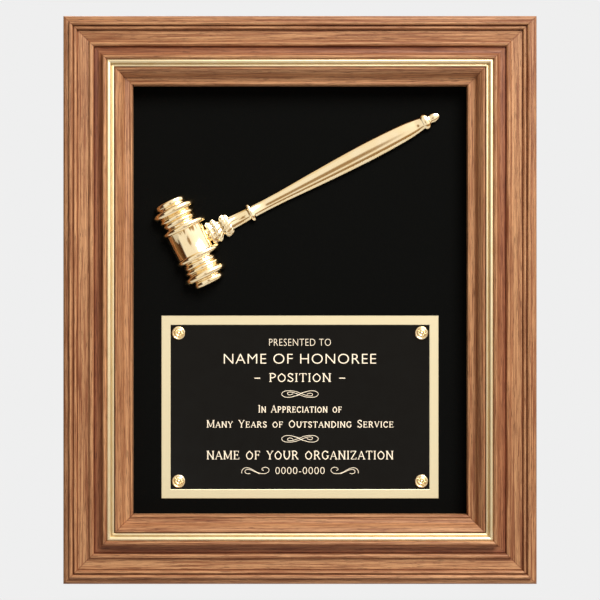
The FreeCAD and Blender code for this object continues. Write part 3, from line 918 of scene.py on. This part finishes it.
def thin(*points):
    """A thin straight stroke through points."""
    return (THIN, list(points), False)


def level(left, right, height):
    """A thin level stroke, such as a bar or a serif."""
    return thin((left, height), (right, height))


def bow(*points):
    """A thick curved stroke through points."""
    return (THICK, list(points), True)


# Engraved roman capitals on a cap height of 1: width, the places of upright stems, and strokes. A serif
# is added at each end of a stem.
ROMAN = {
    "A": (0.80, [], [
        thin((0.08, 0), (0.4, 1)), thick((0.4, 1), (0.72, 0)), level(0.2, 0.6, 0.34), level(0.0, 0.18, 0),
        level(0.58, 0.84, 0),
    ]),
    "C": (0.78, [], [
        bow((0.68, 0.8), (0.42, 1.0), (0.1, 0.5), (0.42, 0.0), (0.72, 0.22)),
        thin((0.68, 1.0), (0.68, 0.76)),
    ]),
    "D": (0.84, [0.16], [bow((0.16, 1), (0.42, 1.0), (0.76, 0.5), (0.42, 0.0), (0.16, 0))]),
    "E": (0.70, [0.16], [
        thin((0.16, 1), (0.6, 1), (0.6, 0.8)), level(0.16, 0.48, 0.52), thin((0.48, 0.64), (0.48, 0.4)),
        thin((0.16, 0), (0.64, 0), (0.64, 0.22)),
    ]),
    "F": (0.66, [0.16], [
        thin((0.16, 1), (0.6, 1), (0.6, 0.8)), level(0.16, 0.48, 0.52), thin((0.48, 0.64), (0.48, 0.4)),
    ]),
    "G": (0.84, [], [
        bow((0.7, 0.8), (0.42, 1.0), (0.1, 0.5), (0.42, 0.0), (0.7, 0.14)), thin((0.7, 1.0), (0.7, 0.78)),
        thick((0.7, 0.12), (0.7, 0.42)), level(0.56, 0.82, 0.42),
    ]),
    "I": (0.32, [0.16], []),
    "M": (1.00, [0.14, 0.86], [thick((0.14, 1), (0.5, 0.06)), thin((0.5, 0.06), (0.86, 1))]),
    "N": (0.86, [0.14, 0.72], [thick((0.14, 1), (0.72, 0))]),
    "O": (0.86, [], [bow((0.43, 1.0), (0.1, 0.5), (0.43, 0.0), (0.76, 0.5), (0.43, 1.0))]),
    "P": (0.70, [0.16], [bow((0.16, 1), (0.4, 1.0), (0.62, 0.74), (0.4, 0.48), (0.16, 0.48))]),
    "R": (0.80, [0.16], [
        bow((0.16, 1), (0.4, 1.0), (0.6, 0.76), (0.4, 0.52), (0.16, 0.52)), thick((0.4, 0.52), (0.68, 0)),
        level(0.6, 0.8, 0),
    ]),
    "S": (0.62, [], [
        bow((0.52, 0.82), (0.3, 1.0), (0.1, 0.78), (0.31, 0.52), (0.54, 0.25), (0.31, 0.0), (0.08, 0.2)),
        thin((0.52, 1.0), (0.52, 0.78)), thin((0.08, 0.0), (0.08, 0.24)),
    ]),
    "T": (0.74, [0.37], [thin((0.06, 0.8), (0.06, 1), (0.68, 1), (0.68, 0.8))]),
    "U": (0.84, [], [
        bow((0.16, 1), (0.16, 0.34), (0.43, 0.0), (0.7, 0.34), (0.7, 1)), level(0.04, 0.28, 1),
        level(0.6, 0.8, 1),
    ]),
    "V": (0.80, [], [
        thick((0.1, 1), (0.4, 0)), thin((0.4, 0), (0.7, 1)), level(0.0, 0.22, 1), level(0.6, 0.8, 1),
    ]),
    "Y": (0.78, [], [
        thick((0.1, 1), (0.39, 0.46)), thin((0.39, 0.46), (0.68, 1)), thick((0.39, 0.46), (0.39, 0)),
        level(0.0, 0.22, 1), level(0.58, 0.78, 1), level(0.26, 0.52, 0),
    ]),
    "Z": (0.72, [], [
        thin((0.08, 0.8), (0.08, 1), (0.62, 1)), thick((0.62, 1), (0.08, 0)),
        thin((0.08, 0), (0.64, 0), (0.64, 0.22)),
    ]),
    "-": (0.80, [], [thick((0.1, 0.42), (0.66, 0.42))]),
}
# Half of a serif's width, the gaps after a letter and for a word, and the size of a small capital.
SERIF = 0.12
LETTER_GAP = 0.09
WORD_GAP = 0.58
SMALL_CAPITAL = 0.8

# Each roman row of the plate: its text, where a small letter stands for a small capital, the height of
# its capitals, its middle above the plate's middle, and its width, in millimetres.
ROMAN_ROWS = {
    "position_row": ("- POSITION -", 5.4, 19.9, 63.0),
    "appreciation_row": ("In Appreciation of", 4.7, -1.2, 56.4),
    "service_row": ("Many Years of Outstanding Service", 4.7, -11.3, 126.1),
    "organization_row": ("NAME OF YOUR ORGANIZATION", 5.4, -32.4, 126.1),
}
# Each plain row: its text, the height of its capitals, its middle, its width, and how fat its lines are.
PLAIN_ROWS = {
    "presented_row": ("PRESENTED TO", 4.7, 43.7, 41.6, -0.018),
    "name_row": ("NAME OF HONOREE", 6.7, 32.6, 102.7, -0.012),
    "years_row": ("0000-0000", 4.7, -42.8, 33.2, -0.016),
}
# Flourishes in millimetres from their own middle. The knot's line also runs turned half round.
KNOT = [
    (-4.6, 0.2), (-6.2, -0.5), (-8.0, -0.3), (-8.4, 0.7), (-6.6, 1.3), (-3.6, 0.7), (-0.4, -0.5),
    (3.4, -1.8), (7.4, -2.2), (11.2, -1.5), (12.3, 0.1), (10.8, 1.7), (7.4, 2.2), (3.8, 1.5),
    (0.6, 0.3), (-1.6, -0.9), (-4.4, -1.5),
]
SCROLL = [
    [
        (-9.2, -1.9), (-9.1, -0.2), (-7.4, 1.6), (-4.4, 1.7), (-1.2, 0.2), (2.0, -1.5), (5.4, -2.1),
        (8.4, -1.2), (9.2, 0.6), (7.8, 2.0), (5.4, 1.9), (4.4, 0.8), (5.6, 0.0),
    ],
    [(-3.4, -1.9), (-5.6, -2.1), (-7.0, -0.8), (-6.0, 0.6), (-3.8, 0.6), (-0.6, -0.7), (2.8, -2.2)],
]
# Flourishes have lines as fat as capitals of this height. Each knot has the side that its line starts
# on and its middle above the plate's middle. The scrolls have their distance from it and their height.
FLOURISH_CAP = 4.7
KNOTS = {"upper_knot": (1, 8.8), "lower_knot": (-1, -21.4)}
SCROLL_X = 30.1
SCROLL_Z = -42.8


def engrave(name, lines, cap, middle):
    """Lines of engraving as one piece: each is a weight, its points in millimetres, and whether it curves."""
    curve = bpy.data.curves.new(name, "CURVE")
    curve.dimensions = "3D"
    half_width = STROKES * cap * MM
    curve.bevel_depth = half_width
    curve.bevel_resolution = 1
    curve.resolution_u = 5
    curve.use_fill_caps = True
    for weight, points, curved in lines:
        spline = curve.splines.new("BEZIER")
        spline.bezier_points.add(len(points) - 1)
        for point, (x, z) in zip(spline.bezier_points, points):
            point.co = (x * MM, 0, z * MM)
            point.radius = weight
            kind = "AUTO" if curved else "VECTOR"
            point.handle_left_type = kind
            point.handle_right_type = kind
    piece = bpy.data.objects.new(name, curve)
    bpy.context.collection.objects.link(piece)
    choose(piece)
    bpy.ops.object.convert(target="MESH")
    piece.scale = (1, sizes().engraving / half_width, 1)
    piece.location = (PLATE_MIDDLE.x + middle[0] * MM, lacquer_y(), PLATE_MIDDLE.z + middle[1] * MM)
    apply_place(piece)
    smooth(piece, 50)
    finish_piece(piece, finish_of("engraved_brass", engraved_brass), "lacquered_brass")
    return piece


def lacquer_y():
    """Where the face of the black lacquer is."""
    return PLATE_LOW.y + LACQUER_DEPTH


def roman_lines(text, cap, width):
    """The strokes of a row of roman capitals, spread to its width about its middle."""
    lines = []
    x = 0.0
    for letter in text:
        if letter == " ":
            x += WORD_GAP
            continue
        size = SMALL_CAPITAL if letter.islower() else 1.0
        advance, stems, strokes = ROMAN[letter.upper()]
        for stem in stems:
            strokes = strokes + [thick((stem, 0), (stem, 1))]
            strokes = strokes + [level(stem - SERIF, stem + SERIF, z) for z in (0, 1)]
        for weight, points, curved in strokes:
            lines.append((weight, [(x + px * size, pz * size) for px, pz in points], curved))
        x += advance * size + LETTER_GAP
    across = width / (x - LETTER_GAP)
    spread = []
    for weight, points, curved in lines:
        placed = [(px * across - width / 2, (pz - 0.5) * cap) for px, pz in points]
        spread.append((weight, placed, curved))
    return spread


def plain_row(name, text, cap, middle, width, fatness):
    """A row of plain capitals in the built-in typeface, sized to its cap height and its width."""
    deselect()
    bpy.ops.object.text_add(rotation=(math.pi / 2, 0, 0))
    piece = bpy.context.object
    piece.name = name
    piece.data.body = text
    piece.data.align_x = "CENTER"
    piece.data.offset = fatness
    piece.data.extrude = 0.05
    piece.data.space_character = 1.08
    piece.data.resolution_u = 4
    bpy.ops.object.convert(target="MESH")
    bpy.ops.object.transform_apply(location=True, rotation=True, scale=True)
    low = Vector([min(v.co[k] for v in piece.data.vertices) for k in range(3)])
    high = Vector([max(v.co[k] for v in piece.data.vertices) for k in range(3)])
    span = high - low
    piece.scale = (width * MM / span.x, 2 * sizes().engraving / span.y, cap * MM / span.z)
    centre = (low + high) / 2
    moved = Vector([c * k for c, k in zip(centre, piece.scale)])
    piece.location = Vector((PLATE_MIDDLE.x, lacquer_y(), PLATE_MIDDLE.z + middle * MM)) - moved
    apply_place(piece)
    tidy_faces(piece)
    finish_piece(piece, finish_of("engraved_brass", engraved_brass), "lacquered_brass")


class PLAQUE_OT_lettering(bpy.types.Operator):
    """Engraves the plate: plain and roman rows, two knots and a pair of scrolls."""

    bl_idname = "plaque.lettering"
    bl_label = "Lettering"

    def execute(self, context):
        for name, row in PLAIN_ROWS.items():
            plain_row(name, *row)
        for name, (text, cap, middle, width) in ROMAN_ROWS.items():
            engrave(name, roman_lines(text, cap, width), cap, (0, middle))
        for name, (side, middle) in KNOTS.items():
            lines = [(THIN, [(side * turn * x, turn * z) for x, z in KNOT], True) for turn in (1, -1)]
            engrave(name, lines, FLOURISH_CAP, (0, middle))
        for name, side in (("left_scroll", 1), ("right_scroll", -1)):
            lines = [(THIN, [(side * x, z) for x, z in line], True) for line in SCROLL]
            engrave(name, lines, FLOURISH_CAP, (-SCROLL_X * side, SCROLL_Z))
        return {"FINISHED"}


# ---------------------------------------------------------------- stage


def softbox(name, place, size, watts):
    """A square soft light that looks at the plaque's middle."""
    deselect()
    bpy.ops.object.light_add(type="AREA", location=place)
    lamp = bpy.context.object
    lamp.name = name
    lamp.data.shape = "SQUARE"
    lamp.data.size = size
    lamp.data.energy = watts
    look = -Vector(place)
    lamp.rotation_euler = look.to_track_quat("-Z", "Y").to_euler()


# The camera: its lens and sensor in millimetres, half of what it sees across, and the depth of the
# plane where it sees that much.
LENS = 150.0
SENSOR = 36.0
VIEW_HALF = 201.3 * MM
VIEW_Y = -20.0 * MM
FLOOR_SIZE = 5
FLOOR_Z = -1.5


class PLAQUE_OT_stage(bpy.types.Operator):
    """Sets the camera, the soft lights, the pale floor and the pale surround."""

    bl_idname = "plaque.stage"
    bl_label = "Stage"

    def execute(self, context):
        deselect()
        reach = VIEW_HALF * LENS / (SENSOR / 2)
        bpy.ops.object.camera_add(location=(0, VIEW_Y - reach, 0), rotation=(math.pi / 2, 0, 0))
        camera = bpy.context.object
        camera.data.lens = LENS
        camera.data.sensor_width = SENSOR
        context.scene.camera = camera
        bpy.ops.mesh.primitive_plane_add(size=FLOOR_SIZE, location=(0, 0, FLOOR_Z))
        floor = bpy.context.object
        floor.name = "floor"
        floor.data.materials.append(floor_paint())
        softbox("key_light", (1.5, -3.05, 2.9), 2.4, 228)
        softbox("back_light", (-0.8, 1.6, 1.2), 1.2, 25)
        surround(context.scene)
        context.scene.view_settings.view_transform = "Standard"
        return {"FINISHED"}


# Directions in the plaque's plane, along the gavel's handle and along its head.
ALONG_HANDLE = Vector((math.cos(HANDLE_TURN), 0, math.sin(HANDLE_TURN)))
ALONG_HEAD = Vector((-math.sin(HANDLE_TURN), 0, math.cos(HANDLE_TURN)))


# The surround by its direction from the plaque, as cosines: 1 is straight along an axis, -1 against it.
# Its light grows along the handle, from a warm lower left to an upper right brighter than white. A
# ramp's places run from 0 to 1 instead, where the cosine runs from -1 to 1.
TAN = linear("#9C7F5A")
SKY_STOPS = [
    (0.0, linear("#8A6A48")), (0.1, linear("#4A2E18")), (0.26, linear("#4A2E18")),
    (0.4, linear("#D9C49A")), (0.6, grey(1.1)), (1.0, grey(1.5)),
]
# A white card in front: the cosines where it starts and is full, its light, and where its left end is cut.
CARD_START = 0.62
CARD_FULL = 0.7
CARD_LIGHT = 0.95
CARD_CUT = (-0.66, -0.58)
# A tan bar across, below the card, along the head.
BAR_STOPS = [(0.0, grey(0.3)), (0.16, grey(1)), (0.2, TAN), (0.32, TAN), (0.36, grey(1)), (1.0, grey(1))]
# A tan oval flag before the camera: its half size along the handle and the head, and its soft edge.
FLAG_HALF = (0.1, 0.17)
FLAG_EDGE = (0.8, 1.1)
# The share of its light that falls on matt surfaces, which the soft lights light instead.
MATT_SHARE = 0.1


def surround(scene):
    """A surround that the camera sees as an even pale grey, and the plaque as a lit studio.

    The tan flag and the tan bar draw the soft lines down the castings and keep the lacquer black.
    """
    world = bpy.data.worlds.new("studio")
    scene.world = world
    world.use_nodes = True
    tree = world.node_tree
    tree.nodes.clear()
    where = add(tree, "TexCoord").outputs["Generated"]
    shares = {}
    for name, towards in (("handle", ALONG_HANDLE), ("head", ALONG_HEAD), ("front", FORWARD)):
        dot = add(tree, "VectorMath", {0: where, 1: towards}, operation="DOT_PRODUCT")
        shares[name] = dot.outputs["Value"]

    def ramp(share, stops):
        placed = add(tree, "MapRange", {"Value": share, "From Min": -1.0})
        return add(tree, "ValToRGB", {"Fac": placed.outputs[0]}, stops).outputs[0]

    def fade(share, start, end, first, last):
        inputs = {"Value": share, "From Min": start, "From Max": end, "To Min": first, "To Max": last}
        return add(tree, "MapRange", inputs).outputs["Result"]

    card = fade(shares["front"], CARD_START, CARD_FULL, 0.0, CARD_LIGHT)
    card_end = fade(shares["handle"], *CARD_CUT, 0.0, 1.0)
    cut_card = add(tree, "Math", {0: card, 1: card_end}, operation="MULTIPLY").outputs[0]
    panel = blend_hues(tree, 1.0, ramp(shares["handle"], SKY_STOPS), cut_card, "LIGHTEN")
    barred = blend_hues(tree, 1.0, panel, ramp(shares["head"], BAR_STOPS), "MULTIPLY")
    across = add(tree, "Math", {0: shares["handle"], 1: FLAG_HALF[0]}, operation="DIVIDE")
    down = add(tree, "Math", {0: shares["head"], 1: FLAG_HALF[1]}, operation="DIVIDE")
    off = add(tree, "CombineXYZ", {"X": across.outputs[0], "Y": down.outputs[0]})
    reach = add(tree, "VectorMath", {0: off.outputs["Vector"]}, operation="LENGTH").outputs["Value"]
    flagged = blend_hues(tree, fade(reach, *FLAG_EDGE, 1.0, 0.0), barred, TAN)
    path = add(tree, "LightPath").outputs
    strength = fade(path["Is Diffuse Ray"], 0.0, 1.0, 1.0, MATT_SHARE)
    light = add(tree, "Background", {"Color": flagged, "Strength": strength})
    seen = add(tree, "Background", {"Color": linear("#EFEFEF"), "Strength": 1.0})
    pick = add(tree, "MixShader", {0: path["Is Camera Ray"], 1: light.outputs[0], 2: seen.outputs[0]})
    add(tree, "OutputWorld", {"Surface": pick.outputs[0]})


class PLAQUE_PT_panel(bpy.types.Panel):
    """The plaque's operators, sizes and colours."""

    bl_label = "Gavel plaque"
    bl_idname = "PLAQUE_PT_panel"
    bl_space_type = "VIEW_3D"
    bl_region_type = "UI"
    bl_category = "Plaque"

    def draw(self, context):
        layout = self.layout
        for operator in OPERATORS:
            layout.operator(operator.bl_idname)
        for group in (context.scene.plaque_sizes, context.scene.plaque_colours):
            box = layout.box()
            for name in group.__annotations__:
                box.prop(group, name)


OPERATORS = (
    PLAQUE_OT_stage,
    PLAQUE_OT_hardware,
    PLAQUE_OT_mouldings,
    PLAQUE_OT_velour,
    PLAQUE_OT_plate,
    PLAQUE_OT_lettering,
    PLAQUE_OT_tacks,
    PLAQUE_OT_gavel,
)
CLASSES = (PlaqueSizes, PlaqueColours) + OPERATORS + (PLAQUE_PT_panel,)


def register():
    for each in CLASSES:
        bpy.utils.register_class(each)
    bpy.types.Scene.plaque_sizes = PointerProperty(type=PlaqueSizes)
    bpy.types.Scene.plaque_colours = PointerProperty(type=PlaqueColours)


def unregister():
    del bpy.types.Scene.plaque_colours
    del bpy.types.Scene.plaque_sizes
    for each in reversed(CLASSES):
        bpy.utils.unregister_class(each)


def main():
    """Registers the add-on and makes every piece."""
    register()
    bpy.ops.plaque.stage()
    bpy.ops.plaque.hardware()
    bpy.ops.plaque.mouldings()
    bpy.ops.plaque.velour()
    bpy.ops.plaque.plate()
    bpy.ops.plaque.lettering()
    bpy.ops.plaque.tacks()
    bpy.ops.plaque.gavel()


if __name__ == "__main__":
    main()
